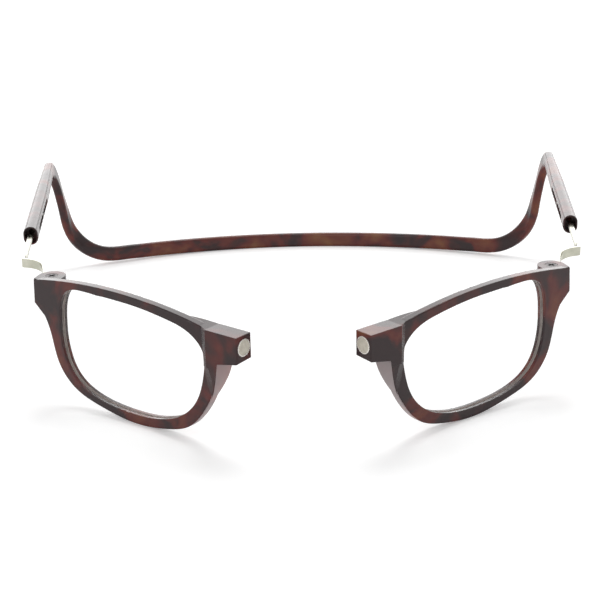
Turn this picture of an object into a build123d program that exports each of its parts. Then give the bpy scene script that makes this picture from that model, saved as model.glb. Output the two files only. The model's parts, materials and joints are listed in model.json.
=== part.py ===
from build123d import *
import os
from math import atan2, cos, degrees, radians, sin, tan

# Reading glasses that part at the bridge: two hinged front halves that magnets hold
# together, on two metal arms that slide in a one-piece headband.
# The model is drawn with the temple tubes level and the wearer facing -Y. Its origin is
# the middle of the nape band. At the end it is set down on its rims and nape band.
# Heights on a front half are counted from the bottom of its rim.

# Clearances
cut_overrun = 1.0
pin_clearance = 0.05
seat_clearance = 0.03
slot_side_clearance = 0.08

# Where the hinges and the temple tubes stand
hinge_half_spread = 66.6
open_angle = 39.24
nape_behind_hinge = 161.1
tube_mouth_outboard = 14.3
tube_mouth_behind_hinge = 48.5
tube_splay = 5.2

# Front half: outline shares are of the reach from hinge axis to magnet face, and of the height
front_reach = 70.1
front_height = 34.9
tube_axis_share = 0.831
rim_depth = 2.6
rim_front_from_hinge = 4.7
rim_front_round = 0.3
rim_rear_round = 0.6
end_corner_share = (-0.031, 0.925)
top_arch_share = (0.371, 1.0)
bridge_top_share = (0.815, 0.928)
end_piece_foot_shares = [(-0.036, 0.737), (0.016, 0.650)]
lower_rim_shares = [
    (0.048, 0.491), (0.076, 0.298), (0.150, 0.134), (0.282, 0.045), (0.490, 0.0),
    (0.642, 0.043), (0.743, 0.115), (0.819, 0.258), (0.873, 0.440), (0.896, 0.640),
]
opening_shares = [
    (0.100, 0.673), (0.117, 0.876), (0.180, 0.928), (0.342, 0.938), (0.528, 0.932),
    (0.670, 0.901), (0.777, 0.842), (0.832, 0.735), (0.832, 0.567), (0.793, 0.347),
    (0.720, 0.198), (0.599, 0.103), (0.428, 0.075), (0.257, 0.115), (0.148, 0.223),
    (0.103, 0.415),
]
outline_steps = 32

# Bridge block that carries the magnet, and the nose rest under it
block_front_raise = 0.8
block_depth = 5.3
block_top_share = 0.917
block_bottom_shares = (0.679, 0.728)
block_bottom_rise = 0.5
block_foot_round = 1.0
block_foot_share = 0.900
block_low_share = 0.636
block_end_round = 0.3
block_facet_shares = (0.822, 0.856)
block_facet_bury = 0.3
block_root_share = (0.850, 0.912)
block_shoulder_shares = [(0.740, 0.9485), (0.815, 0.9265), (0.855, 0.917)]
block_swell_shares = (0.745, 0.877)
nose_rest_height_shares = [0.705, 0.632, 0.545, 0.430, 0.272]
nose_rest_facet_shares = [0.822, 0.823, 0.826, 0.815, 0.770]
nose_rest_inner_shares = [0.858, 0.866, 0.876, 0.865, 0.800]
nose_rest_outer_shares = [0.909, 0.903, 0.893, 0.872, 0.817]
nose_rest_rear_shares = [0.916, 0.909, 0.897, 0.871, 0.815]
nose_rest_raise_shares = [0.97, 0.97, 0.65, -0.05, -0.3]

# Hinge boss, screw and threaded insert
boss_radius = 3.7
boss_below_axis = 3.3
boss_above_axis = 3.5
boss_web_reach = 5.5
slot_wall_from_axis = 1.9
screw_radius = 0.8
screw_head_radius = 1.65
screw_head_height = 0.7
screw_tip_gap = 0.3
cross_width = 0.5
cross_length = 2.1
cross_depth = 0.45
insert_radius = 1.5
insert_length = 1.75

# Metal arm: flat strip with a rolled eye, then a round wire that runs in the tube
strip_thickness = 0.9
strip_height = 2.6
strip_leave_angle = 13.0
strip_first_run = 21.6
strip_bend_radius = 8.5
corner_bend_radius = 0.8
wire_radius = 0.85
visible_wire = 25.9
strip_end_run = 2.2
strip_to_wire_run = 2.6
wire_past_stop = 1.6

# Temple tube, and the slot that the slide stop runs in
tube_width = 4.3
tube_height = 5.6
tube_corner_radius = 2.1
mouth_wall = 0.45
mouth_recess = 5.0
mouth_round = 0.2
slot_start = 6.5
slot_length = 34.5
slot_width = 1.5
detent_count = 8
detent_radius = 0.5
stop_head_radius = 0.7
stop_shank_radius = 0.4
stop_head_recess = 0.15
bore_past_slot = 3.5
plain_tube_past_bore = 2.0

# Headband route behind the tubes
strap_width = 3.0
strap_height = 5.3
strap_corner_radius = 1.2
ear_lead = 4.0
ear_corner_run = 89.0
ear_bend_radius = 9.0
nape_corner_radius = 18.0
nape_arc_radius = 131.0
nape_half_angle = 25.9
nape_lead = 27.4
nape_slope = 6.1
nape_below_tube = 37.7
nape_rest_depth = 0.25
strap_sections = 28

# Lens
lens_front_radius = 380.0
lens_rear_radius = 330.0
lens_front_bulge = 1.5
lens_centre_thickness = 1.6
lens_edge_gap = 0.05
lens_tongue = 0.55
lens_tongue_thickness = 0.8
lens_tongue_root = 1.2

# Magnet in its plated cup
cup_radius = 2.2
cup_wall = 0.3
cup_depth = 2.6
magnet_height_share = 0.828
magnet_behind_block_front = 2.7
magnet_edge_round = 0.12

# Level frame: x across, y rearwards, z up
tube_axis_height = tube_axis_share * front_height
rim_base_height = nape_below_tube - tube_axis_height
hinge_origin = Vector(-hinge_half_spread, -nape_behind_hinge, rim_base_height)
open_cos = cos(radians(open_angle))
open_sin = sin(radians(open_angle))
half_along = Vector(open_cos, -open_sin, 0)
half_forward = Vector(-open_sin, -open_cos, 0)
front_plane = Plane(origin=hinge_origin, x_dir=half_along, z_dir=half_forward)
plan_plane = Plane(origin=hinge_origin, x_dir=half_along, z_dir=(0, 0, 1))

# Depths on a front half, measured forwards from the hinge axis
rim_rear = rim_front_from_hinge - rim_depth
rim_middle = rim_rear + rim_depth / 2
block_front = rim_front_from_hinge + block_front_raise
block_rear = block_front - block_depth
boss_bottom = tube_axis_height - boss_below_axis
boss_top = tube_axis_height + boss_above_axis
boss_front = rim_front_from_hinge - rim_front_round
slot_low = tube_axis_height - strip_height / 2 - slot_side_clearance
slot_high = tube_axis_height + strip_height / 2 + slot_side_clearance
groove_width = lens_tongue_thickness + 2 * lens_edge_gap


def on_front(shares):
    """Outline point of a front half from its shares of reach and height."""
    return (shares[0] * front_reach, shares[1] * front_height)


with BuildLine() as opening_outline:
    Spline([on_front(point) for point in opening_shares], periodic=True)
opening_curve = opening_outline.edge()


def opening_edge(grow):
    """Lens outline, grown outwards by the given amount."""
    points = []
    for step in range(outline_steps):
        along = opening_curve % (step / outline_steps)
        points.append(opening_curve @ (step / outline_steps) + Vector(-along.Y, along.X) * grow)
    with BuildSketch() as outline:
        with BuildLine():
            Spline(points, periodic=True)
        make_face()
    return outline.sketch


# Places on the front half
end_corner = on_front(end_corner_share)
bridge_top = on_front(bridge_top_share)
block_root = on_front(block_root_share)
lower_rim = [on_front(point) for point in lower_rim_shares]
foot_outer, foot_inner = [on_front(point) for point in end_piece_foot_shares]
block_top = block_top_share * front_height
block_bottom_at_rim, block_bottom_at_end = [share * front_height for share in block_bottom_shares]
block_foot = block_foot_share * front_reach
block_low = block_low_share * front_height
block_shoulder = [on_front(point) for point in block_shoulder_shares]
facet_start, facet_end = [share * front_reach for share in block_facet_shares]
swell_start, swell_end = [share * front_reach for share in block_swell_shares]
magnet_centre = front_plane.from_local_coords(
    Vector(front_reach, magnet_height_share * front_height, block_front - magnet_behind_block_front)
)
magnet_plane = Plane(origin=magnet_centre, x_dir=(0, 0, 1), z_dir=half_along)

# Rim plate with its end piece, rounded front and rear
with BuildPart() as rim_plate:
    with BuildSketch(front_plane.offset(rim_rear)):
        with BuildLine():
            ThreePointArc(end_corner, on_front(top_arch_share), bridge_top)
            Polyline(bridge_top, block_root, lower_rim[-1])
            Spline([foot_inner] + lower_rim)
            Polyline(foot_inner, foot_outer, end_corner)
        make_face()
    extrude(amount=rim_depth)
    rim_faces = rim_plate.faces().sort_by(Axis(hinge_origin, half_forward))
    fillet(rim_faces[-1].edges(), rim_front_round)
    rim_faces = rim_plate.faces().sort_by(Axis(hinge_origin, half_forward))
    fillet(rim_faces[0].edges(), rim_rear_round)

# Bridge block: its underside climbs towards the magnet face and towards the rear
with BuildPart() as bridge_block:
    for depth, rise in (
        (block_front + cut_overrun, 0),
        (block_rear - cut_overrun, block_bottom_rise),
    ):
        with BuildSketch(front_plane.offset(depth)):
            with BuildLine():
                FilletPolyline(
                    (block_foot, block_low),
                    (block_foot, block_bottom_at_rim + rise),
                    (front_reach + cut_overrun, block_bottom_at_end + rise),
                    radius=block_foot_round,
                )
                Polyline(
                    (front_reach + cut_overrun, block_bottom_at_end + rise),
                    (front_reach + cut_overrun, block_top),
                    block_shoulder[2],
                    block_shoulder[1],
                    block_shoulder[0],
                    (block_shoulder[0][0], block_low),
                    (block_foot, block_low),
                )
            make_face()
    loft()
    # Its plan: a facet rises from the rim to the front, and the rear swells out of the rim
    with BuildSketch(plan_plane):
        with BuildLine():
            Polyline(
                (swell_start, -rim_rear - block_facet_bury),
                (facet_start, block_facet_bury - rim_front_from_hinge),
                (facet_end, -block_front),
                (front_reach, -block_front),
                (front_reach, -block_rear),
                (swell_end, -block_rear),
            )
            TangentArc(
                (swell_end, -block_rear), (swell_start, -rim_rear - block_facet_bury), tangent=(-1, 0)
            )
        make_face()
    extrude(amount=front_height, mode=Mode.INTERSECT)
    end_face = bridge_block.faces().sort_by(Axis(hinge_origin, half_along))[-1]
    fillet(end_face.edges(), block_end_round)

# Front half: rim, bridge block, nose rest and hinge lugs in one moulding
with BuildPart() as left_frame:
    add(rim_plate.part)
    add(bridge_block.part)
    # Nose rest: the flank under the block, deep at the top and fading into the rim
    for height, facet, inner, outer, rear, raised in zip(
        nose_rest_height_shares,
        nose_rest_facet_shares,
        nose_rest_inner_shares,
        nose_rest_outer_shares,
        nose_rest_rear_shares,
        nose_rest_raise_shares,
    ):
        flank_front = rim_front_from_hinge + block_front_raise * raised
        flank_rear = rim_rear + (block_rear - rim_rear) * raised
        with BuildSketch(plan_plane.offset(height * front_height)):
            with BuildLine():
                Polyline(
                    (facet * front_reach, block_facet_bury - rim_front_from_hinge),
                    (inner * front_reach, -flank_front),
                    (outer * front_reach, -flank_front),
                    (rear * front_reach, -flank_rear),
                    (facet * front_reach, -flank_rear),
                    close=True,
                )
            make_face()
    loft()

    # Boss round the hinge axis, blended tangentially into the end piece
    with BuildSketch(plan_plane.offset(boss_bottom)):
        with BuildLine():
            CenterArc((0, 0), boss_radius, 0, 360)
            Line((end_corner[0], -boss_front), (boss_web_reach, -boss_front))
        make_hull()
    extrude(amount=boss_top - boss_bottom)
    # Room for the arm's eye between two lugs, open to the rear and both sides
    with BuildSketch(plan_plane.offset(slot_low)):
        Circle(boss_radius + cut_overrun)
        with Locations((0, -slot_wall_from_axis - 2 * boss_radius)):
            Rectangle(4 * boss_radius, 4 * boss_radius, mode=Mode.SUBTRACT)
    extrude(amount=slot_high - slot_low, mode=Mode.SUBTRACT)
    # Counterbored screw hole above the eye, insert hole below it
    with Locations(plan_plane.offset(boss_top)):
        CounterBoreHole(
            radius=screw_radius + pin_clearance,
            counter_bore_radius=screw_head_radius + pin_clearance,
            counter_bore_depth=screw_head_height,
            depth=boss_top - slot_low,
        )
    with Locations(plan_plane.offset(slot_low)):
        Hole(radius=insert_radius + seat_clearance, depth=slot_low - boss_bottom + cut_overrun)

    # Lens opening with its groove, and the pocket for the magnet cup
    with BuildSketch(front_plane.offset(block_rear - cut_overrun)):
        add(opening_edge(0))
    extrude(amount=block_depth + 2 * cut_overrun, mode=Mode.SUBTRACT)
    with BuildSketch(front_plane.offset(rim_middle - groove_width / 2)):
        add(opening_edge(lens_tongue + lens_edge_gap))
    extrude(amount=groove_width, mode=Mode.SUBTRACT)
    with BuildSketch(magnet_plane):
        Circle(cup_radius + seat_clearance)
    extrude(amount=-(cup_depth + seat_clearance), mode=Mode.SUBTRACT)

# Lens: a thin meniscus whose edge tongue sits in the groove
lens_left, lens_top = on_front(opening_shares[15])[0], on_front(opening_shares[3])[1]
lens_right, lens_bottom = on_front(opening_shares[7])[0], on_front(opening_shares[12])[1]
lens_axis = ((lens_left + lens_right) / 2, (lens_top + lens_bottom) / 2)
lens_apex = rim_middle + lens_front_bulge


def on_lens_axis(depth):
    """Point on the lens axis at a depth measured forwards from the hinge axis."""
    return front_plane.from_local_coords(Vector(lens_axis[0], lens_axis[1], depth))


with BuildPart() as left_lens:
    with BuildSketch(front_plane.offset(rim_rear - cut_overrun)):
        add(opening_edge(-lens_edge_gap))
    extrude(amount=rim_depth + 2 * cut_overrun)
    with Locations(on_lens_axis(lens_apex - lens_front_radius)):
        Sphere(lens_front_radius, mode=Mode.INTERSECT)
    with Locations(on_lens_axis(lens_apex - lens_centre_thickness - lens_rear_radius)):
        Sphere(lens_rear_radius, mode=Mode.SUBTRACT)
    with BuildSketch(front_plane.offset(rim_middle - lens_tongue_thickness / 2)):
        add(opening_edge(lens_tongue))
        add(opening_edge(-lens_tongue_root), mode=Mode.SUBTRACT)
    extrude(amount=lens_tongue_thickness)

# Magnet, and the thin plated cup that shows as a bright ring round it
with BuildPart() as left_magnet_cup:
    with BuildSketch(magnet_plane):
        Circle(cup_radius)
    extrude(amount=-cup_depth)
    with BuildSketch(magnet_plane):
        Circle(cup_radius - cup_wall)
    extrude(amount=-(cup_depth - cup_wall), mode=Mode.SUBTRACT)

with BuildPart() as left_magnet:
    with BuildSketch(magnet_plane):
        Circle(cup_radius - cup_wall - seat_clearance)
    extrude(amount=-(cup_depth - cup_wall - seat_clearance))
    face_edge = left_magnet.edges().filter_by(GeomType.CIRCLE).sort_by(Axis(magnet_centre, half_along))
    fillet(face_edge[-1], magnet_edge_round)

# Cross-head hinge screw, and the threaded insert that takes its end
screw_top = boss_top - seat_clearance
with BuildPart() as left_hinge_screw:
    with BuildSketch(plan_plane.offset(boss_bottom + screw_tip_gap)):
        Circle(screw_radius)
    extrude(amount=screw_top - boss_bottom - screw_tip_gap)
    with BuildSketch(plan_plane.offset(boss_top - screw_head_height + seat_clearance)):
        Circle(screw_head_radius)
    extrude(amount=screw_head_height - 2 * seat_clearance)
    with BuildSketch(plan_plane.offset(screw_top)):
        Rectangle(cross_length, cross_width)
        Rectangle(cross_width, cross_length)
    extrude(amount=-cross_depth, mode=Mode.SUBTRACT)

with BuildPart() as left_hinge_insert:
    with BuildSketch(plan_plane.offset(slot_low)):
        Circle(insert_radius)
        Circle(screw_radius + seat_clearance, mode=Mode.SUBTRACT)
    extrude(amount=-insert_length)

# Places on the left temple, in the level frame
splay_sin = sin(radians(tube_splay))
splay_cos = cos(radians(tube_splay))
tube_rearward = Vector(-splay_sin, splay_cos, 0)
tube_outward = Vector(-splay_cos, -splay_sin, 0)
mouth = Vector(
    -hinge_half_spread - tube_mouth_outboard,
    tube_mouth_behind_hinge - nape_behind_hinge,
    nape_below_tube,
)
stop_from_mouth = slot_start + slot_length / 2
slot_middle = mouth + tube_rearward * stop_from_mouth
arm_corner = mouth - tube_rearward * visible_wire
strip_end = arm_corner + tube_rearward * strip_end_run
wire_start = strip_end + tube_rearward * strip_to_wire_run
eye_centre = Vector(hinge_origin.X, hinge_origin.Y, nape_below_tube)
eye_bore_radius = screw_radius + pin_clearance
eye_mean_radius = eye_bore_radius + strip_thickness / 2
leave_sin = sin(radians(strip_leave_angle))
leave_cos = cos(radians(strip_leave_angle))
strip_start = eye_centre + Vector(-leave_cos, -leave_sin, 0) * eye_mean_radius
strip_knee = strip_start + Vector(-leave_sin, leave_cos, 0) * strip_first_run
arm_plane = Plane(origin=(0, 0, nape_below_tube), z_dir=(0, 0, 1))
stop_plane = Plane(origin=slot_middle, x_dir=tube_rearward, z_dir=-tube_outward)


def across_tube(distance):
    """Plane across the left tube at a distance behind its mouth, y up."""
    return Plane(origin=mouth + tube_rearward * distance, x_dir=tube_outward, z_dir=tube_rearward)


# Metal arm: rolled eye, upright strip with its bends, and the round wire
with BuildPart() as left_temple_arm:
    with BuildSketch(arm_plane.offset(-strip_height / 2)):
        with BuildLine():
            FilletPolyline(
                (strip_start.X, strip_start.Y),
                (strip_knee.X, strip_knee.Y),
                (arm_corner.X, arm_corner.Y),
                (strip_end.X, strip_end.Y),
                radius=(strip_bend_radius, corner_bend_radius),
            )
        trace(line_width=strip_thickness)
        with Locations((eye_centre.X, eye_centre.Y)):
            Circle(eye_bore_radius + strip_thickness)
            Circle(eye_bore_radius, mode=Mode.SUBTRACT)
    extrude(amount=strip_height)
    with BuildSketch(across_tube(strip_end_run - visible_wire)):
        Rectangle(strip_thickness, strip_height)
    with BuildSketch(across_tube(strip_end_run + strip_to_wire_run - visible_wire)):
        Circle(wire_radius)
    loft()
    with BuildSketch(across_tube(strip_end_run + strip_to_wire_run - visible_wire)):
        Circle(wire_radius)
    extrude(amount=(stop_from_mouth + wire_past_stop) - (strip_end_run + strip_to_wire_run - visible_wire))
    with Locations(stop_plane.offset(wire_radius)):
        Hole(radius=stop_shank_radius + seat_clearance, depth=2 * wire_radius)

# Slide stop: a small headed pin through the wire, its head riding in the slot
with BuildPart() as left_slide_stop:
    with BuildSketch(stop_plane.offset(-wire_radius / 2)):
        Circle(stop_shank_radius)
    extrude(amount=wire_radius * 1.5 + seat_clearance)
    with BuildSketch(stop_plane.offset(wire_radius + seat_clearance)):
        Circle(stop_head_radius)
    extrude(amount=tube_width / 2 - stop_head_recess - wire_radius - seat_clearance)

# Headband route on the left: tube, bend behind the ear, drop, corner, lead and half nape arc
nape_up = Vector(0, sin(radians(nape_slope)), cos(radians(nape_slope)))
nape_rearward = Vector(0, cos(radians(nape_slope)), -sin(radians(nape_slope)))
nape_arc_centre = -nape_rearward * nape_arc_radius


def on_nape_arc(angle):
    """Point of the nape arc at an angle left of its middle."""
    outward = Vector(-sin(radians(angle)), 0, 0) + nape_rearward * cos(radians(angle))
    return nape_arc_centre + outward * nape_arc_radius


nape_start = on_nape_arc(nape_half_angle)
nape_start_along = (nape_start - nape_arc_centre).cross(nape_up).normalized()
nape_corner = nape_start - nape_start_along * nape_lead
ear_corner = mouth + tube_rearward * ear_corner_run
with BuildLine() as side_route:
    FilletPolyline(
        mouth, ear_corner, nape_corner, nape_start, radius=(ear_bend_radius, nape_corner_radius)
    )
    ThreePointArc(nape_start, on_nape_arc(nape_half_angle / 2), on_nape_arc(0))
route = side_route.wire()

# Distances along the route, from the tube mouth
ear_turn = radians(tube_rearward.get_angle(nape_corner - ear_corner))
nape_turn = radians(nape_start_along.get_angle(nape_corner - ear_corner))
taper_start = slot_start + slot_length + bore_past_slot + plain_tube_past_bore
ear_bend_start = ear_corner_run - ear_bend_radius * tan(ear_turn / 2)
taper_end = ear_bend_start - ear_lead
twist_start = ear_bend_start + ear_bend_radius * ear_turn
lead_run = nape_lead - nape_corner_radius * tan(nape_turn / 2)
twist_end = route.length - nape_arc_radius * radians(nape_half_angle) - lead_run


def across_route(distance):
    """Plane across the strap, its x pointing away from the head, at a distance from the mouth."""
    place = route.position_at(distance, position_mode=PositionMode.LENGTH)
    along = route.tangent_at(distance, position_mode=PositionMode.LENGTH)
    share = min(max((distance - twist_start) / (twist_end - twist_start), 0), 1)
    turned_share = share * share * (3 - 2 * share)
    outward = tube_outward * (1 - turned_share) + nape_up.cross(along).normalized() * turned_share
    outward = outward - along * outward.dot(along)
    return Plane(origin=place, x_dir=outward.normalized(), z_dir=along)


with BuildPart() as headband_side:
    # Plain tube
    with BuildSketch(across_tube(0)):
        RectangleRounded(tube_width, tube_height, tube_corner_radius)
    extrude(amount=taper_start)
    fillet(headband_side.faces().sort_by(Axis(mouth, tube_rearward))[0].edges(), mouth_round)
    # Taper from tube to strap
    with BuildSketch(across_tube(taper_start)):
        RectangleRounded(tube_width, tube_height, tube_corner_radius)
    with BuildSketch(across_tube(taper_end)):
        RectangleRounded(strap_width, strap_height, strap_corner_radius)
    loft()
    # Strap round the ear, down the drop and along half the nape
    for section in range(strap_sections + 1):
        distance = taper_end + (route.length - taper_end) * section / strap_sections
        with BuildSketch(across_route(distance)):
            RectangleRounded(strap_width, strap_height, strap_corner_radius)
    loft()

    # Hollow mouth, wire bore, and the slot with its detent notches on the inner side
    with BuildSketch(across_tube(0)):
        RectangleRounded(
            tube_width - 2 * mouth_wall, tube_height - 2 * mouth_wall, tube_corner_radius - mouth_wall
        )
    extrude(amount=mouth_recess, mode=Mode.SUBTRACT)
    with BuildSketch(across_tube(0)):
        Circle(wire_radius + pin_clearance)
    extrude(amount=slot_start + slot_length + bore_past_slot, mode=Mode.SUBTRACT)
    with BuildSketch(stop_plane):
        SlotOverall(slot_length, slot_width)
        with GridLocations(slot_length / (detent_count + 1), slot_width, detent_count, 2):
            Circle(detent_radius)
    extrude(amount=tube_width, mode=Mode.SUBTRACT)


def lean_to_rest(rim, floor_height):
    """Angle about x that brings the rim's lowest point down to the floor height."""
    lean = 0
    for _ in range(8):
        lowest = rim.moved(Location((0, 0, 0), (lean, 0, 0))).bounding_box().min.Z
        lean += degrees(atan2(lowest - floor_height, nape_behind_hinge))
    return lean


# The nape band rests on a shallow flat, level with the lowest points of the rims
rest_height = strap_height / 2 - nape_rest_depth
lean = lean_to_rest(left_frame.part, -rest_height)
floor = Plane.XY.rotated((-lean, 0, 0)).offset(-rest_height)
with BuildPart() as headband:
    add(headband_side.part)
    mirror(about=Plane.YZ)
    split(bisect_by=floor, keep=Keep.TOP)


def mirrored(piece):
    """The right-hand twin of a left-hand piece."""
    with BuildPart() as twin:
        mirror(piece.part, about=Plane.YZ)
    return twin


left_pieces = {
    "frame": left_frame,
    "lens": left_lens,
    "magnet_cup": left_magnet_cup,
    "magnet": left_magnet,
    "hinge_screw": left_hinge_screw,
    "hinge_insert": left_hinge_insert,
    "temple_arm": left_temple_arm,
    "slide_stop": left_slide_stop,
}
pieces = {"headband": headband}
for name, piece in left_pieces.items():
    pieces["left_" + name] = piece
    pieces["right_" + name] = mirrored(piece)

# Set down on the floor, the origin under the middle of the nape band
stance = Location((0, 0, rest_height), (lean, 0, 0))
os.makedirs("parts", exist_ok=True)
for name, piece in pieces.items():
    piece.part.move(stance)
    piece.part.label = name
    export_step(piece.part, f"parts/{name}.step")
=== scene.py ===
import json
from math import pi, radians

import bpy
import numpy as np
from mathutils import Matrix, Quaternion, Vector


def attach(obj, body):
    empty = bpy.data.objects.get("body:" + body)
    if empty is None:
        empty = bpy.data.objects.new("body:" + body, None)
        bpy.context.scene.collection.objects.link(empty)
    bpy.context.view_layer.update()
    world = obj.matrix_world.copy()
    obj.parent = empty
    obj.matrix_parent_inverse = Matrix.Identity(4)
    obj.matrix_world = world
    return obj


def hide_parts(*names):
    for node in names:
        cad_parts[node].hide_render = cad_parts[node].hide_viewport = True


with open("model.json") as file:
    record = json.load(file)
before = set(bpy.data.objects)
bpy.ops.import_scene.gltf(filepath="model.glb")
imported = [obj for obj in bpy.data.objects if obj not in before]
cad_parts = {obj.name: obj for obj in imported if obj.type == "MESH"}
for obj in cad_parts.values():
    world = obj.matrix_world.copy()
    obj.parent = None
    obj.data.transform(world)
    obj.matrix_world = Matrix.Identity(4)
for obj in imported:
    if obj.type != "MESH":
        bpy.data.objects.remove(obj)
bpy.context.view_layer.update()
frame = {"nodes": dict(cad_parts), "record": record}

nodes = frame["nodes"]
mounts = {mount["name"]: mount for mount in frame["record"]["mounts"]}
joints = {joint["name"]: joint for joint in frame["record"]["behaviour"]["joints"]}
scene = bpy.context.scene


# Helpers for node materials

noise_low, noise_high = 0.3, 0.7


def new_material(name):
    """A material with an empty node tree and an output."""
    material = bpy.data.materials.new(name)
    material.use_nodes = True
    tree = material.node_tree
    tree.nodes.clear()
    output = tree.nodes.new("ShaderNodeOutputMaterial")
    return material, tree, output


def add(tree, kind, **values):
    """A node of a kind, its sockets or properties set from the values by name."""
    node = tree.nodes.new(kind)
    for key, value in values.items():
        socket = node.inputs.get(key.replace("_", " "))
        if socket is None:
            setattr(node, key, value)
        else:
            socket.default_value = value
    return node


def link(tree, source, target, output=0, socket=0):
    """A link from a source's output to a target's socket, both by name or number."""
    tree.links.new(source.outputs[output], target.inputs[socket])


def grey(value):
    return (value, value, value)


def ramp(tree, source, stops):
    """A colour ramp over a source's first output, from its (position, colour) stops."""
    node = tree.nodes.new("ShaderNodeValToRGB")
    link(tree, source, node)
    elements = node.color_ramp.elements
    while len(elements) < len(stops):
        elements.new(0.5)
    for element, (position, colour) in zip(elements, stops):
        element.position = position
        element.color = (*colour, 1)
    return node


def noise(tree, coordinates, scale, detail, roughness=0.5, distortion=0.0):
    """Noise in the object's own coordinates, its scale in features per metre."""
    node = add(tree, "ShaderNodeTexNoise", Scale=scale, Detail=detail, Roughness=roughness,
               Distortion=distortion)
    link(tree, coordinates, node, "Object", "Vector")
    return node


def vary_colour(tree, source, surface, dark, light):
    """Base colour that follows a noise from dark to light."""
    colour = ramp(tree, source, [(noise_low, dark), (noise_high, light)])
    link(tree, colour, surface, "Color", "Base Color")


def vary_gloss(tree, source, surface, limits):
    """Roughness that follows a noise between its two limits."""
    low, high = limits
    gloss = ramp(tree, source, [(noise_low, grey(low)), (noise_high, grey(high))])
    link(tree, gloss, surface, "Color", "Roughness")


def raise_bumps(tree, source, surface, strength, distance):
    """Bumps that follow a noise."""
    bump = add(tree, "ShaderNodeBump", Strength=strength, Distance=distance)
    link(tree, source, bump, "Fac", "Height")
    link(tree, bump, surface, "Normal", "Normal")
    return bump


# Shell plastic

# Painted glow: the shell turns warmer along the nape, standing in for light that shines through the
# band
nape_start, nape_end, nape_painted_glow = -0.04, -0.005, 0.09
edge_softness = 0.00025
shell_clouds = [
    (0.43, (0.034, 0.017, 0.018)),
    (0.50, (0.058, 0.020, 0.019)),
    (0.57, (0.125, 0.023, 0.019)),
    (0.68, (0.172, 0.045, 0.024)),
    (0.80, (0.240, 0.095, 0.036)),
]


def shell_plastic(name, pale_tone_and_painted_sheen, roughness):
    """Dark brown plastic with red-brown and amber clouds, lifted by an added pale tone that is partly
    painted sheen, and warmer along the nape as a painted glow of light shining through the band.
    """
    material, tree, output = new_material(name)
    surface = add(tree, "ShaderNodeBsdfPrincipled", IOR=1.5, Specular_IOR_Level=0.30)
    link(tree, surface, output)
    coordinates = add(tree, "ShaderNodeTexCoord")
    clouds = noise(tree, coordinates, scale=85, detail=2.5, distortion=0.8)
    clouds.noise_dimensions = "4D"
    clouds.inputs["W"].default_value = 5.20
    place = add(tree, "ShaderNodeSeparateXYZ")
    link(tree, coordinates, place, "Object", 0)
    # Painted glow: the clouds shift towards their warmer colours along the nape, as if light shone
    # through the band
    painted_glow = add(tree, "ShaderNodeMapRange", From_Min=nape_start, From_Max=nape_end,
                 To_Min=0, To_Max=nape_painted_glow)
    link(tree, place, painted_glow, "Y", "Value")
    shifted = add(tree, "ShaderNodeMath", operation="ADD")
    link(tree, clouds, shifted, "Fac", 0)
    link(tree, painted_glow, shifted, "Result", 1)
    # The pale tone lifts every cloud colour; on the nose rest it is partly the pad's own pale grey and
    # partly painted sheen
    clouds_with_painted_sheen = [
        (position, tuple(tone + pale for tone, pale in zip(tones, pale_tone_and_painted_sheen)))
        for position, tones in shell_clouds
    ]
    colour = ramp(tree, shifted, clouds_with_painted_sheen)
    link(tree, colour, surface, "Color", "Base Color")
    smears = noise(tree, coordinates, scale=420, detail=4, roughness=0.6)
    vary_gloss(tree, smears, surface, roughness)
    ripple = noise(tree, coordinates, scale=900, detail=3)
    bump = raise_bumps(tree, ripple, surface, strength=0.02, distance=0.0001)
    soft_edge = add(tree, "ShaderNodeBevel", Radius=edge_softness)
    link(tree, soft_edge, bump, 0, "Normal")
    return material


# Metals

def metal(name, dark, light, roughness, scale, bump_strength):
    """Metal with a slight tone change, smudged gloss and a fine drawn grain."""
    material, tree, output = new_material(name)
    surface = add(tree, "ShaderNodeBsdfPrincipled", Metallic=1)
    link(tree, surface, output)
    coordinates = add(tree, "ShaderNodeTexCoord")
    vary_colour(tree, noise(tree, coordinates, scale, detail=4), surface, dark, light)
    smudge = noise(tree, coordinates, scale=2.3 * scale, detail=5, roughness=0.65)
    vary_gloss(tree, smudge, surface, roughness)
    grain = noise(tree, coordinates, scale=9 * scale, detail=4)
    raise_bumps(tree, grain, surface, bump_strength, distance=0.00005)
    return material


# Lens

def lens_clear():
    """Clear thin lens: light passes straight through, and faint smears soften its sheen."""
    material, tree, output = new_material("lens_clear")
    clear = add(tree, "ShaderNodeBsdfTransparent", Color=(0.997, 1, 0.999, 1))
    sheen = add(tree, "ShaderNodeBsdfGlossy")
    coordinates = add(tree, "ShaderNodeTexCoord")
    smear = noise(tree, coordinates, scale=60, detail=4)
    gloss = ramp(tree, smear, [(0.35, grey(0.01)), (0.75, grey(0.12))])
    link(tree, gloss, sheen, "Color", "Roughness")
    share = ramp(tree, smear, [(noise_low, grey(0.012)), (noise_high, grey(0.022))])
    mix = add(tree, "ShaderNodeMixShader")
    link(tree, share, mix, "Color", 0)
    link(tree, clear, mix, 0, 1)
    link(tree, sheen, mix, 0, 2)
    link(tree, mix, output)
    return material


def lens_ground():
    """Ground edge of a lens: pale and matt, with a little light coming through."""
    material, tree, output = new_material("lens_ground")
    clear = add(tree, "ShaderNodeBsdfTransparent")
    surface = add(tree, "ShaderNodeBsdfPrincipled")
    coordinates = add(tree, "ShaderNodeTexCoord")
    speckle = noise(tree, coordinates, scale=1800, detail=4, roughness=0.6)
    vary_colour(tree, speckle, surface, dark=(0.62, 0.55, 0.52), light=(0.80, 0.74, 0.70))
    vary_gloss(tree, speckle, surface, (0.35, 0.55))
    raise_bumps(tree, speckle, surface, strength=0.2, distance=0.00005)
    mix = add(tree, "ShaderNodeMixShader", Fac=0.75)
    link(tree, clear, mix, 0, 1)
    link(tree, surface, mix, 0, 2)
    link(tree, mix, output)
    return material


# A finish for each kind of piece

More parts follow.
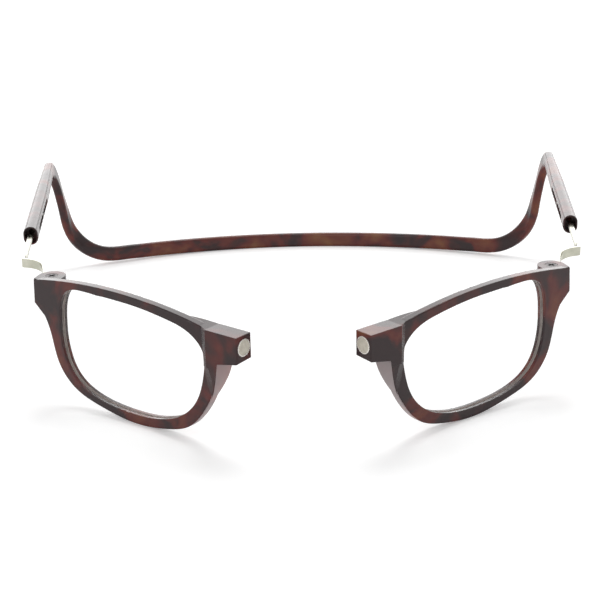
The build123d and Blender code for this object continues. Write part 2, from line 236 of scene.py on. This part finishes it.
shell_brown = shell_plastic("shell_brown", pale_tone_and_painted_sheen=(0, 0, 0), roughness=(0.14, 0.24))
# Nose rest: pale pinkish grey, partly its own tone and partly painted sheen on the faces that look
# towards the nose
shell_satin_painted_sheen = shell_plastic("shell_satin_painted_sheen", pale_tone_and_painted_sheen=(0.32, 0.28, 0.28), roughness=(0.38, 0.5))
ground_edge = lens_ground()
arm_steel = metal("arm_steel", dark=(0.40, 0.40, 0.32), light=(0.55, 0.54, 0.46),
                  roughness=(0.12, 0.25), scale=260, bump_strength=0.05)
finishes = {
    "headband": shell_brown,
    "frame": shell_brown,
    "lens": lens_clear(),
    "magnet_cup": metal("cup_nickel", dark=(0.80, 0.78, 0.72), light=(0.92, 0.90, 0.84),
                        roughness=(0.15, 0.28), scale=900, bump_strength=0.1),
    "magnet": metal("magnet_grey", dark=(0.48, 0.45, 0.38), light=(0.60, 0.57, 0.49),
                    roughness=(0.28, 0.42), scale=1200, bump_strength=0.2),
    "hinge_screw": metal("screw_steel", dark=(0.05, 0.045, 0.045), light=(0.10, 0.09, 0.09),
                         roughness=(0.35, 0.5), scale=1500, bump_strength=0.2),
    "hinge_insert": metal("insert_brass", dark=(0.50, 0.36, 0.16), light=(0.70, 0.52, 0.26),
                          roughness=(0.2, 0.35), scale=1500, bump_strength=0.2),
    "temple_arm": arm_steel,
    "slide_stop": arm_steel,
}
for name, node in nodes.items():
    kind = name.removeprefix("left_").removeprefix("right_")
    node.data.materials.clear()
    node.data.materials.append(finishes[kind])


# Helpers for stand-ins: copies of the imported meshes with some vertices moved

def vertex_places(mesh):
    """Places of a mesh's vertices, one row each."""
    places = np.empty(len(mesh.vertices) * 3)
    mesh.vertices.foreach_get("co", places)
    return places.reshape(-1, 3)


def add_object(name, mesh):
    """A new object of a mesh in the scene."""
    made = bpy.data.objects.new(name, mesh)
    scene.collection.objects.link(made)
    return made


def unit(vectors):
    return vectors / np.linalg.norm(vectors, axis=-1, keepdims=True)


# Even lens openings: rim and lens stand-ins whose edges lie on one smooth curve

front_reach, front_height, hinge_height = 0.0701, 0.0349, 0.029
rim_front_depth, depth_tolerance = 0.0047, 0.00001
hinge_side_wave, nose_side_wave = 0.0016, 0.0002
edge_band, fade_band, tongue_start = 0.001, 0.003, 0.0001
rest_reach_share, rest_height_share, rest_facing = 0.75, 0.69, 0.45
smallest_reach = 0.000001
curve_steps = 12
middle_shares = np.array((0.467, 0.5))
opening_middle = middle_shares * (front_reach, front_height)
# Each point is a share of the front's reach from the hinge and a share of its height
opening_shares = [
    (0.108, 0.734), (0.121, 0.825), (0.143, 0.890), (0.180, 0.926), (0.250, 0.938), (0.342, 0.939),
    (0.528, 0.932), (0.670, 0.901), (0.777, 0.842), (0.832, 0.735), (0.832, 0.567), (0.793, 0.347),
    (0.720, 0.198), (0.599, 0.103), (0.428, 0.075), (0.257, 0.115), (0.203, 0.156), (0.160, 0.218),
    (0.128, 0.309), (0.111, 0.410), (0.103, 0.510), (0.103, 0.619),
]


def closed_curve(points):
    """Points along the smooth closed curve, a periodic cubic spline, through the given points."""
    closed = np.vstack([points, points[:1]])
    spans = np.linalg.norm(np.diff(closed, axis=0), axis=1)
    count = len(points)
    system = np.zeros((count, count))
    pull = np.zeros((count, 2))
    for here in range(count):
        before, after = (here - 1) % count, (here + 1) % count
        system[here, before] = spans[before]
        system[here, here] = 2 * (spans[before] + spans[here])
        system[here, after] = spans[here]
        pull[here] = 6 * ((closed[here + 1] - closed[here]) / spans[here]
                          - (closed[here] - points[before]) / spans[before])
    bend = np.linalg.solve(system, pull)
    curve = []
    for here in range(count):
        start, end, span = closed[here], closed[here + 1], spans[here]
        first, last = bend[here], bend[(here + 1) % count]
        for share in np.arange(curve_steps) / curve_steps:
            rest = 1 - share
            curve.append(rest * start + share * end
                         + ((rest ** 3 - rest) * first + (share ** 3 - share) * last) * span ** 2 / 6)
    return np.array(curve)


def polar(points):
    """Angle and distance of each point, seen from the middle of the opening."""
    offset = points - opening_middle
    angle = np.arctan2(offset[:, 1], offset[:, 0])
    return angle, np.hypot(offset[:, 0], offset[:, 1])


def mark_ground_edge(mesh, beyond):
    """The ground edge's finish on the lens faces outside the opening."""
    mesh.materials.append(ground_edge)
    for face in mesh.polygons:
        if beyond[list(face.vertices)].mean() > tongue_start:
            face.material_index = 1


def mark_nose_rest(mesh, across, inward):
    """The satin finish, pale with painted sheen, on the faces of the nose rest that look towards the
    nose.
    """
    mesh.materials.append(shell_satin_painted_sheen)
    for face in mesh.polygons:
        along, height = across[list(face.vertices)].mean(axis=0)
        on_rest = along > rest_reach_share * front_reach and height < rest_height_share * front_height
        if on_rest and face.normal.dot(Vector(inward)) > rest_facing:
            face.material_index = 1


upward = np.array(joints["left_half_hinge"]["axis"])
smooth_angle, smooth_reach = polar(closed_curve(np.array(opening_shares) * (front_reach, front_height)))
for side in ("left", "right"):
    hinge = np.array(joints[f"{side}_half_hinge"]["pos_m"])
    inward = np.array(mounts[f"{side}_magnet_face"]["axis"])
    forward = np.cross(inward, upward) * (1 if side == "left" else -1)
    for kind in ("frame", "lens"):
        mesh = nodes[f"{side}_{kind}"].data.copy()
        places = vertex_places(mesh)
        offset = places - hinge
        across = np.stack([offset @ inward, offset @ upward + hinge_height], axis=1)
        angle, reach = polar(across)
        target = np.interp(angle, smooth_angle, smooth_reach, period=2 * pi)
        # The rim comes first, and the lens follows the edge that was found on it
        if kind == "frame":
            wave = np.where(abs(angle) > pi / 2, hinge_side_wave, nose_side_wave)
            in_front = abs(offset @ forward - rim_front_depth) < depth_tolerance
            at_edge = in_front & (reach < target + wave)
            edge = angle[at_edge], reach[at_edge]
        now = np.interp(angle, *edge, period=2 * pi)
        beyond = reach - now
        if kind == "frame":
            share = np.clip((2 * edge_band - beyond) / edge_band, 0, 1)
        else:
            share = np.clip((beyond + fade_band) / fade_band, 0, 1)
        step = share * (target - now) / reach.clip(smallest_reach)
        move = step[:, None] * (across - opening_middle)
        places += move[:, :1] * inward + move[:, 1:] * upward
        mesh.vertices.foreach_set("co", places.ravel())
        mesh.update()
        if kind == "frame":
            mark_nose_rest(mesh, across, inward)
        else:
            mark_ground_edge(mesh, beyond)
        stand_in = add_object(f"{side}_{kind}_even", mesh)
        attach(stand_in, f"{side}_half")
        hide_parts(f"{side}_{kind}")


# Even ear bends: a headband stand-in whose strap keeps one section from its start round the bend

strap_half_width, strap_half_height, strap_corner = 0.0015, 0.00265, 0.0012
strap_start, bend_start, bend_end, bend_radius = 0.075573, 0.079573, 0.093702, 0.009
strap_search_radius, start_tolerance = 0.0045, 0.00001
smallest_overhang = 0.000000001
tube_mouth = np.array((-0.0809, -0.114644, 0.033334))
rearward = np.array(joints["left_arm_slide"]["axis"])
outward = np.array((-0.99588, -0.09047, -0.00539))
drop = np.array((0.19849, 0.02988, -0.97965))


def even_bend(places, mirror):
    """Which vertices lie on one side's bend, their even places and which way they face there."""
    back, away = rearward * mirror, outward * mirror
    down = unit(drop * mirror - back * (drop * mirror @ back))
    pivot = tube_mouth * mirror + back * bend_start + down * bend_radius
    from_pivot = places - pivot
    before_bend = (from_pivot @ back < 0) & (from_pivot @ -down > 0)
    lead = np.where(before_bend, from_pivot @ back, 0)
    angle = np.where(before_bend, 0, np.arctan2(from_pivot @ back, -from_pivot @ down).clip(0))
    along = np.cos(angle)[:, None] * back + np.sin(angle)[:, None] * down
    middle = pivot + bend_radius * (np.sin(angle)[:, None] * back - np.cos(angle)[:, None] * down)
    middle += lead[:, None] * back
    distance = bend_start + lead + bend_radius * angle
    across = unit(away - along * (along @ away)[:, None])
    upright = np.cross(along, across)
    offset = places - middle
    beside, above = (offset * across).sum(axis=1), (offset * upright).sum(axis=1)
    over_side = (abs(beside) - strap_half_width + strap_corner).clip(0)
    over_top = (abs(above) - strap_half_height + strap_corner).clip(0)
    over = np.hypot(over_side, over_top).clip(smallest_overhang)
    on_strap = np.hypot(beside, above) < strap_search_radius
    near = on_strap & (distance > strap_start - start_tolerance) & (distance < bend_end)
    side_sign, top_sign = np.sign(beside)[:, None], np.sign(above)[:, None]
    new_side = abs(beside) - over_side + over_side * strap_corner / over
    new_top = abs(above) - over_top + over_top * strap_corner / over
    even = middle + side_sign * new_side[:, None] * across + top_sign * new_top[:, None] * upright
    facing = side_sign * over_side[:, None] * across + top_sign * over_top[:, None] * upright
    return near, even[near], unit(facing[near])


mesh = nodes["headband"].data.copy()
places = vertex_places(mesh)
facings = np.zeros_like(places)
on_bend = np.zeros(len(places), dtype=bool)
for mirror in ((1, 1, 1), (-1, 1, 1)):
    near, even, facing = even_bend(places, mirror)
    places[near] = even
    facings[near] = facing
    on_bend |= near
corner_facings = np.empty(len(mesh.loops) * 3)
mesh.corner_normals.foreach_get("vector", corner_facings)
corner_facings = corner_facings.reshape(-1, 3)
mesh.vertices.foreach_set("co", places.ravel())
for face in mesh.polygons:
    corners = list(face.vertices)
    if on_bend[corners].all():
        corner_facings[list(face.loop_indices)] = facings[corners]
mesh.normals_split_custom_set(corner_facings.tolist())
mesh.update()
headband = add_object("headband_even", mesh)
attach(headband, "band")
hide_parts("headband")


# Surroundings

def background_rays(tree):
    """1 for rays from the camera and those that metal or glass sends on, 0 for the others."""
    path = add(tree, "ShaderNodeLightPath")
    direct = add(tree, "ShaderNodeMath", operation="MAXIMUM")
    link(tree, path, direct, "Is Camera Ray", 0)
    link(tree, path, direct, "Is Glossy Ray", 1)
    seen = add(tree, "ShaderNodeMath", operation="MAXIMUM")
    link(tree, direct, seen, 0, 0)
    link(tree, path, seen, "Is Transmission Ray", 1)
    return seen


# White table top: it keeps the shadows near the glasses and turns plain white far from them
floor_width, floor_white = 6, 0.98
near_distance, near_glow = 0.26, 0.285
far_distance, far_glow = 0.5, 1
bpy.ops.mesh.primitive_plane_add(size=floor_width, location=(0, 0, 0))
floor = bpy.context.object
floor.name = "floor"
floor_material, tree, output = new_material("table_white")
paper = add(tree, "ShaderNodeBsdfDiffuse", Color=(*grey(floor_white), 1))
coordinates = add(tree, "ShaderNodeTexCoord")
distance = add(tree, "ShaderNodeVectorMath", operation="LENGTH")
link(tree, coordinates, distance, "Object", 0)
whiteness = add(tree, "ShaderNodeMapRange", From_Min=near_distance, From_Max=far_distance,
                To_Min=near_glow, To_Max=far_glow)
link(tree, distance, whiteness, "Value", "Value")
strength = add(tree, "ShaderNodeMath", operation="MULTIPLY")
link(tree, whiteness, strength, "Result", 0)
link(tree, background_rays(tree), strength, 0, 1)
glow = add(tree, "ShaderNodeEmission")
link(tree, strength, glow, 0, "Strength")
both = add(tree, "ShaderNodeAddShader")
link(tree, paper, both, 0, 0)
link(tree, glow, both, 0, 1)
link(tree, both, output)
floor.data.materials.append(floor_material)

# Room: soft white light, seen as plain white in the background, in metal and through the lenses
sky_strength, backdrop_strength = 0.36, 1.0
white = (*grey(1), 1)
world = bpy.data.worlds.new("room")
scene.world = world
world.use_nodes = True
tree = world.node_tree
tree.nodes.clear()
output = tree.nodes.new("ShaderNodeOutputWorld")
sky = add(tree, "ShaderNodeBackground", Color=white, Strength=sky_strength)
backdrop = add(tree, "ShaderNodeBackground", Color=white, Strength=backdrop_strength)
mix = add(tree, "ShaderNodeMixShader")
link(tree, background_rays(tree), mix, 0, 0)
link(tree, sky, mix, 0, 1)
link(tree, backdrop, mix, 0, 2)
link(tree, mix, output)


# Lamps

def area_light(name, place, size, power):
    """Soft light of a width and height, aimed from a place at the middle of the glasses."""
    middle = Vector((0, -0.1, 0.02))
    data = bpy.data.lights.new(name, "AREA")
    data.shape = "RECTANGLE"
    data.size, data.size_y = size
    data.energy = power
    light = bpy.data.objects.new(name, data)
    light.location = place
    light.rotation_euler = (middle - Vector(place)).to_track_quat("-Z", "Y").to_euler()
    scene.collection.objects.link(light)


area_light("rear_light", place=(0, 1.7, 0.95), size=(4.0, 1.5), power=34)
area_light("top_light", place=(0.05, 0.3, 1.2), size=(0.5, 0.5), power=4)
area_light("front_light", place=(-0.4, -1.1, 0.9), size=(0.8, 0.8), power=2)

# Camera at the photograph's place
camera_place = (-0.0006, -0.52842, 0.131476)
camera_down, camera_roll = radians(16.163), radians(-1.239)
camera_data = bpy.data.cameras.new("camera")
camera_data.lens = 85.02
camera_data.sensor_width = 36
camera_data.clip_start = 0.01
camera = bpy.data.objects.new("camera", camera_data)
camera.location = camera_place
camera.rotation_mode = "QUATERNION"
level = Quaternion((1, 0, 0), pi / 2 - camera_down)
camera.rotation_quaternion = level @ Quaternion((0, 0, 1), camera_roll)
scene.collection.objects.link(camera)
scene.camera = camera
scene.view_settings.view_transform = "Standard"
